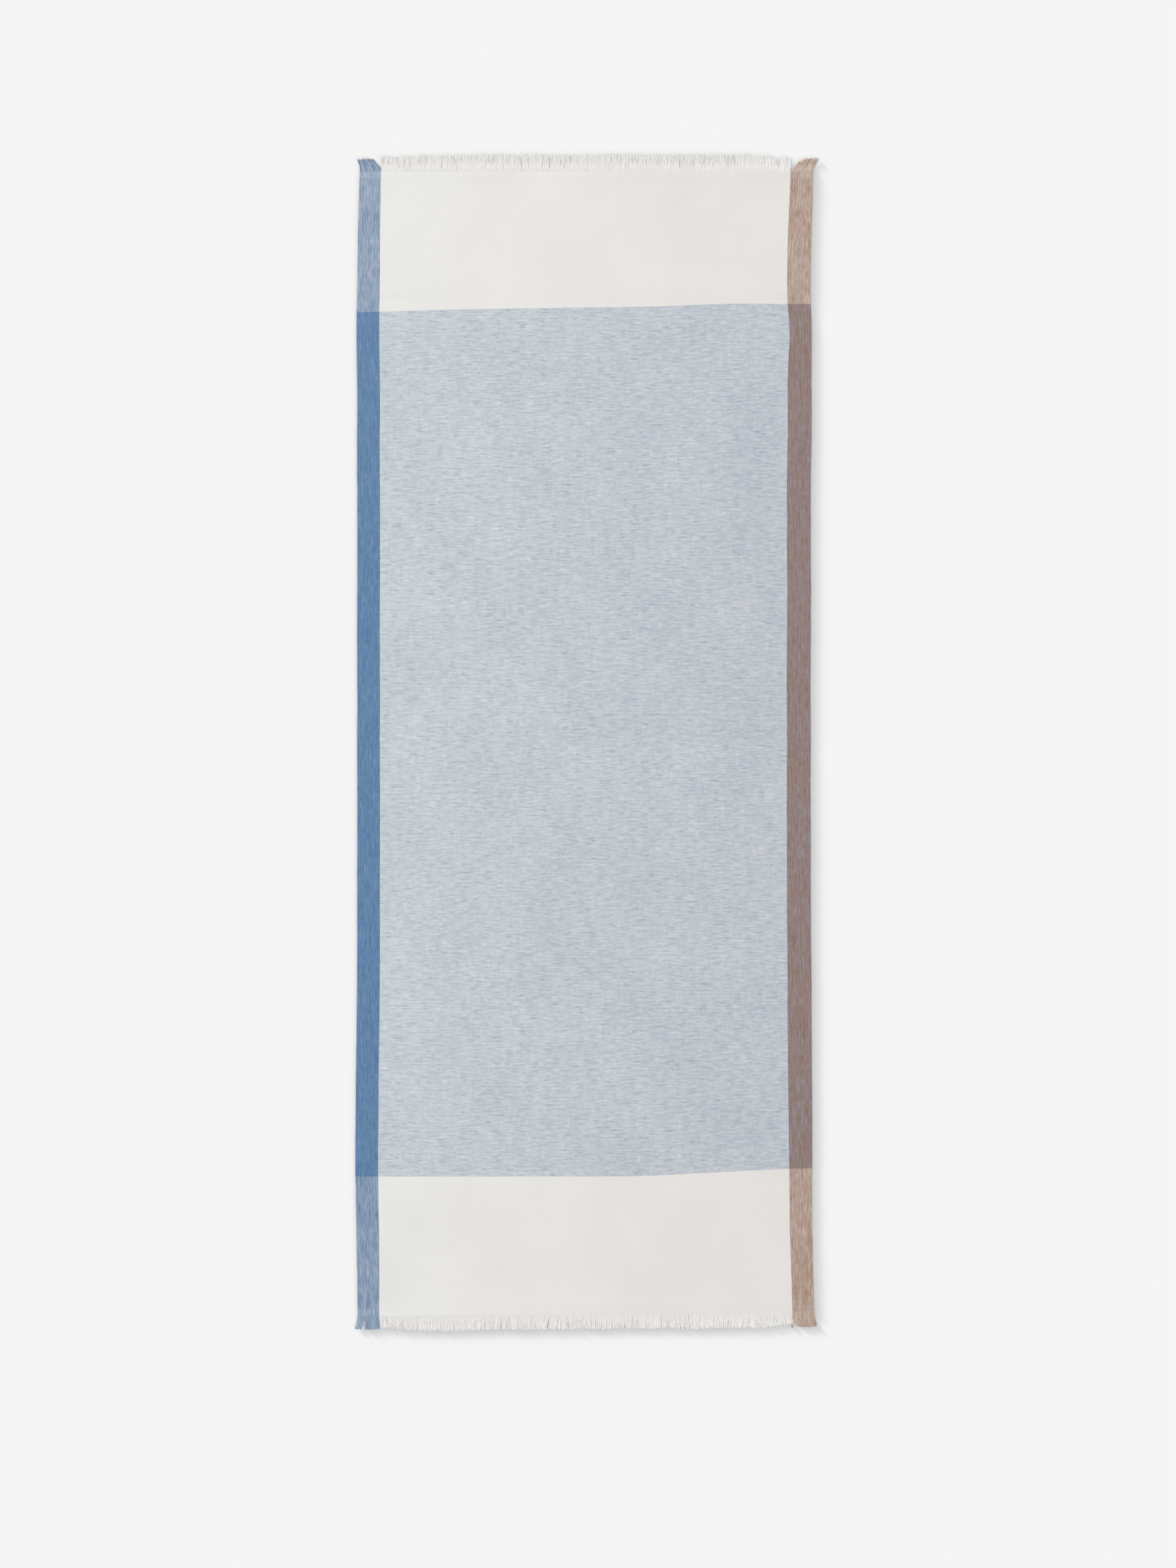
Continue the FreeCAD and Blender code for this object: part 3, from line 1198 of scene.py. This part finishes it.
@dataclass
class Fringe:
    """The warp yarns that hang free past the woven ends, one piece for each stripe's end.

    Attributes:
        lie: How the cloth lies.
        finishes: The yarn finish of each stripe.
        pitch: Distance from yarn to yarn at the roots.
        yarn: Thickness of a yarn.
        flatness: Height of a yarn as a share of its width.
        filling: Yarns lying across the gaps beneath, as a share of the others.
        tip_rise: How far the yarns' tips lift off the table.
        ivory_length: Length of the ivory yarns at each end, in millimetres.
        bunch_width: Least and greatest width of an ivory bunch, in millimetres.
        sway: How far neighbouring bunches lean together, in millimetres.
        stray: Share of yarns that leave their bunch.
        stray_lift: How far such a yarn lies above the others.
        layer_lift: How far an upper layer lies above the one beneath.
        root_depth: How far a yarn starts inside the weave.
        root_height: How high it starts, as a share of the cloth's thickness.
        ground_spread: How far loose ivory yarns lean from their bunch, in millimetres.
        corner_spread: The same for the blue and brown yarns.
        corner_trim: How much shorter the ivory yarns are beside the coloured ones, in millimetres.
        corner_lean: How far the last ivory yarns at the north lean east, in millimetres.
    """

    lie: ClothLie
    finishes: dict[Stripe, bpy.types.Material]
    pitch: float = 0.47 * MM
    yarn: float = 0.80 * MM
    flatness: float = 0.32
    filling: float = 1.2
    tip_rise: float = 0.75 * MM
    ivory_length: dict[Side, float] = field(
        default_factory=lambda: {Side.NORTH: 19.0, Side.SOUTH: 17.6}
    )
    bunch_width: tuple[float, float] = (3.0, 9.5)
    sway: float = 2.4
    stray: float = 0.07
    stray_lift: float = 0.2 * MM
    layer_lift: float = 0.07 * MM
    root_depth: float = 0.35 * MM
    root_height: float = 0.66
    ground_spread: float = 2.0
    corner_spread: float = 0.5
    corner_trim: float = 3.2
    corner_lean: float = 4.5

    def build(self) -> list[bpy.types.Object]:
        """Builds the six tufted ends."""
        return [self.tuft(stripe, side) for side in Side for stripe in Stripe]

    def bunches(self, stripe: Stripe, side: Side) -> list[Bunch]:
        """The bunches of one stripe's end: listed ones at the corners, drawn ones between."""
        if (stripe, side) in CORNER_BUNCHES:
            return CORNER_BUNCHES[stripe, side]
        rng = random.Random(f"bunches{side.name}")
        low, high = self.lie.plan.edges[stripe]
        wide = (high - low) / MM
        made, place = [], 0.0
        while place < 1.0:
            end = min(1.0, place + rng.uniform(*self.bunch_width) / wide)
            if 1.0 - end < self.bunch_width[0] / wide:
                end = 1.0
            lean = self.sway * rolling(place * 9, side.value * 3.0, 0.5)
            if side is Side.NORTH:
                lean += self.corner_lean * bell(end, 1.0, 0.012)
            length = self.ivory_length[side] + 1.3 * rolling(place * 14, side.value * 5.0, 7.5)
            length -= self.corner_trim * bell(min(place, 1 - end), 0.0, 0.05)
            lean += rng.uniform(-0.7, 0.7)
            close = rng.uniform(0.0, 0.2)
            length += rng.uniform(-0.5, 0.5)
            made.append(Bunch(place, end, lean, close, length, rng.uniform(1.0, 1.8)))
            place = end
        return made

    def tuft(self, stripe: Stripe, side: Side) -> bpy.types.Object:
        """Builds one stripe's fringe at one end."""
        rng = random.Random(f"tuft{stripe.name}{side.name}")
        heap = YarnHeap(new_slug(sides=5, rings=5, tip=0.88))
        low, high = self.lie.plan.edges[stripe]
        spread = self.ground_spread if stripe is Stripe.GROUND else self.corner_spread
        for bunch in self.bunches(stripe, side):
            start, end = (low + (high - low) * share for share in (bunch.start, bunch.end))
            middle = (start + end) / 2
            count = max(2, round((end - start) / self.pitch))
            for i in range(count):
                root = start + (end - start) * (i + 0.5) / count
                self.add_yarn(heap, rng, bunch, root, middle, side, 1 + i % 2, spread)
            for _ in range(round(count * self.filling)):
                root = rng.uniform(start, end)
                lean = bunch.lean + rng.uniform(-spread, spread)
                under = replace(bunch, lean=lean, length=bunch.length * rng.uniform(0.86, 0.99))
                self.add_yarn(heap, rng, under, root, middle, side, 0, spread)
        piece = heap.finish(f"fringe_{stripe.value}_{side.label}", self.finishes[stripe])
        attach(piece, f"{side.label}_end")
        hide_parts(f"{stripe.value}_{side.label}_fringe")
        return piece

    def add_yarn(
        self, heap: YarnHeap, rng: random.Random, bunch: Bunch, root: float, middle: float,
        side: Side, layer: int, spread: float,
    ) -> None:
        """Adds one yarn to a bunch.

        Args:
            heap: The tuft being made.
            rng: Its random numbers.
            bunch: The bunch that the yarn is in.
            root: Where it leaves the weave, across the cloth.
            middle: The middle of the bunch's roots.
            side: The end of the cloth.
            layer: 0 for a lowest yarn, 1 or 2 for an upper one.
            spread: How far a stray yarn leans, in millimetres.
        """
        plan = self.lie.plan
        strays = rng.random() < self.stray
        length = bunch.length * rng.uniform(0.93, 1.04) * MM
        lean = bunch.lean + rng.gauss(0, 0.35)
        lean = (lean + (rng.uniform(-1.6, 1.6) * spread if strays else 0)) * MM
        draw = bunch.close * (middle - root)
        radius = self.yarn / 2 * rng.uniform(0.78, 1.1)
        thick = radius * self.flatness
        wave, phase = rng.uniform(0.05, 0.28) * MM, rng.uniform(0, math.tau)
        beat = rng.uniform(5, 9)
        top = self.layer_lift * layer + (self.stray_lift if strays else 0)
        top += rng.uniform(0, 0.10) * MM
        jog = rng.uniform(-0.12, 0.12) * MM
        edge = side.value * (plan.woven_end - self.root_depth)
        start = self.lie.place(root, edge, self.root_height * plan.thickness)

        def line(share: float) -> Vector:
            """The yarn's centre line, from root to tip."""
            shift = (lean + draw) * share**bunch.bend
            shift += wave * math.sin(phase + beat * share) * share + jog
            reach = math.sqrt(max(0.2, 1 - (0.8 * lean / length) ** 2)) * length * share
            settle = smooth_ramp(share, 0.0, 0.8)
            above = top * smooth_ramp(share, 0.05, 0.5)
            above += self.tip_rise * smooth_ramp(share, 0.3, 1.0)
            height = start.z * (1 - settle) + (thick + above) * settle
            return Vector((start.x + shift, start.y + side.value * reach, max(height, thick)))

        def bend(co: Vector) -> Vector:
            """Puts a point of the straight yarn on the line."""
            centre = line(co.z)
            ahead = line(min(1.0, co.z + 0.04)) - line(max(0.0, co.z - 0.04))
            sideways = Vector((ahead.y, -ahead.x, 0)).normalized()
            up = ahead.normalized().cross(sideways) * -1
            return centre + (sideways * co.x + up * co.y * self.flatness) * radius

        heap.add(bend, (root, side.value * plan.woven_end), rng.random())


# ---- the studio


@dataclass(frozen=True)
class Lamp:
    """A soft distant light.

    Attributes:
        name: Its name.
        azimuth: Where it stands, in degrees from +X towards +Y.
        elevation: How high it stands, in degrees.
        spread: Its own angular size, in degrees.
        strength: Its strength.
        floor_only: Whether it lights the floor alone, or all but the floor.
    """

    name: str
    azimuth: float
    elevation: float
    spread: float
    strength: float
    floor_only: bool

    def light(self, floor: bpy.types.Object) -> None:
        """Adds the lamp to the scene.

        Args:
            floor: The floor, which it lights alone or leaves out.
        """
        data = bpy.data.lights.new(self.name, "SUN")
        data.angle = math.radians(self.spread)
        data.energy = self.strength
        lamp = bpy.data.objects.new(self.name, data)
        height, turn = math.radians(self.elevation), math.radians(self.azimuth)
        towards = Vector((math.cos(turn), math.sin(turn), math.tan(height)))
        lamp.rotation_euler = towards.to_track_quat("Z", "Y").to_euler()
        bpy.context.scene.collection.objects.link(lamp)
        lit = bpy.data.collections.new(f"{self.name}_floor")
        lit.objects.link(floor)
        link = lit.collection_objects[0].light_linking
        link.link_state = "INCLUDE" if self.floor_only else "EXCLUDE"
        lamp.light_linking.receiver_collection = lit


@dataclass
class Studio:
    """The floor, the lights and the camera.

    Attributes:
        floor_finish: The floor's finish.
        floor_reach: How far the floor reaches.
        floor_drop: How far it lies under the cloth's plane.
        fill: Strength of the even light from all around.
        lamps: The soft lamps.
        view_centre: What the camera looks straight down on.
        view_height: The length of floor that the view takes in.
        lens: Focal length in millimetres.
    """

    floor_finish: FloorFinish = field(default_factory=FloorFinish)
    floor_reach: float = 80.0
    floor_drop: float = 0.05 * MM
    fill: float = 0.761
    lamps: tuple[Lamp, ...] = (
        Lamp("low_window", 137, 4.4, 4.4, strength=7.37, floor_only=True),
        Lamp("wide_window", 137, 8.6, 8, strength=2.52, floor_only=True),
        Lamp("far_wall", -43, 14, 14, strength=1.04, floor_only=True),
        Lamp("high_window", 137, 24, 20, strength=2.94, floor_only=False),
    )
    view_centre: tuple[float, float] = (0.0043, -0.046)
    view_height: float = 1.736
    lens: float = 85.0

    def build(self) -> None:
        """Lays the floor, lights it and sets the camera."""
        bm = bmesh.new()
        bmesh.ops.create_grid(bm, x_segments=1, y_segments=1, size=self.floor_reach)
        bmesh.ops.translate(bm, verts=bm.verts, vec=(0, 0, -self.floor_drop))
        floor = finished_piece("floor", bm, self.floor_finish.make())
        world = bpy.data.worlds.new("soft_room")
        world.use_nodes = True
        background = world.node_tree.nodes["Background"]
        background.inputs["Color"].default_value = (1, 1, 1, 1)
        background.inputs["Strength"].default_value = self.fill
        bpy.context.scene.world = world
        for lamp in self.lamps:
            lamp.light(floor)
        data = bpy.data.cameras.new("above")
        data.lens = self.lens
        camera = bpy.data.objects.new("above", data)
        away = self.view_height * self.lens / data.sensor_width
        camera.location = (*self.view_centre, away)
        bpy.context.scene.collection.objects.link(camera)
        bpy.context.scene.camera = camera
        bpy.context.scene.view_settings.view_transform = "Standard"


# ---- the runner


IVORY: Colour = (0.712, 0.692, 0.668)
BLUE_WEFT: Colour = (0.246, 0.336, 0.446)
BLUE_WARP: Colour = (0.050, 0.141, 0.296)
BROWN_WARP: Colour = (0.250, 0.116, 0.048)


def main() -> None:
    """Builds the runner and its studio, piece by piece."""
    logging.basicConfig(level=logging.INFO, format="%(message)s")
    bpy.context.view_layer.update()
    plan = ClothPlan.from_frame()
    lie = ClothLie(plan)
    rows = runner_rows(plan)
    effects = Effects()
    blue_cloth = WovenFinish(
        "woven_blue", BLUE_WARP, BLUE_WEFT, IVORY, cover=0.68, end_cover=0.62, slubs=0.05,
        streaks=0.12, warp_tone=-0.23, cover_drift=0.045, weave_contrast=0.05, mottle=0.09,
        fine_tone=-0.05, slub_tone=0.8,
    )
    woven = {
        Stripe.BLUE: blue_cloth,
        Stripe.GROUND: WovenFinish("woven_ground", IVORY, BLUE_WEFT, IVORY),
        Stripe.BROWN: replace(blue_cloth, name="woven_brown", warp=BROWN_WARP, cover_drift=0.015),
    }
    tones = {
        Stripe.BLUE: ("fringe_blue", (0.35, 0.44, 0.55), (0.09, 0.145, 0.25)),
        Stripe.GROUND: ("fringe_ivory", (0.785, 0.769, 0.743), (0.675, 0.66, 0.637)),
        Stripe.BROWN: ("fringe_brown", (0.61, 0.49, 0.43), (0.26, 0.162, 0.112)),
    }
    yarns = {stripe: YarnFinish(*tone, root_shade=0.94) for stripe, tone in tones.items()}
    weft = YarnFinish(
        "selvedge_weft", BLUE_WEFT, (0.16, 0.24, 0.34), turns=4.0, end_colour=IVORY,
        end_fold=plan.end_fold,
    )
    # the lock thread is darker than the ivory thread itself: painted shade of the dimples where it pinches
    # the cloth
    thread = YarnFinish("lock_thread", (0.58, 0.56, 0.52), (0.38, 0.36, 0.33), turns=5.0)

    assemblies = [
        WovenCloth(lie, rows, {key: finish.make(effects, plan) for key, finish in woven.items()}),
        SelvedgeLoops(lie, rows, weft.make(effects)),
        LockStitches(lie, thread.make(effects)),
        Fringe(lie, {key: finish.make(effects) for key, finish in yarns.items()}),
    ]
    Studio().build()
    for assembly in assemblies:
        for piece in assembly.build():
            log.info("%s: %d faces", piece.name, len(piece.data.polygons))


if __name__ == "__main__":
    main()
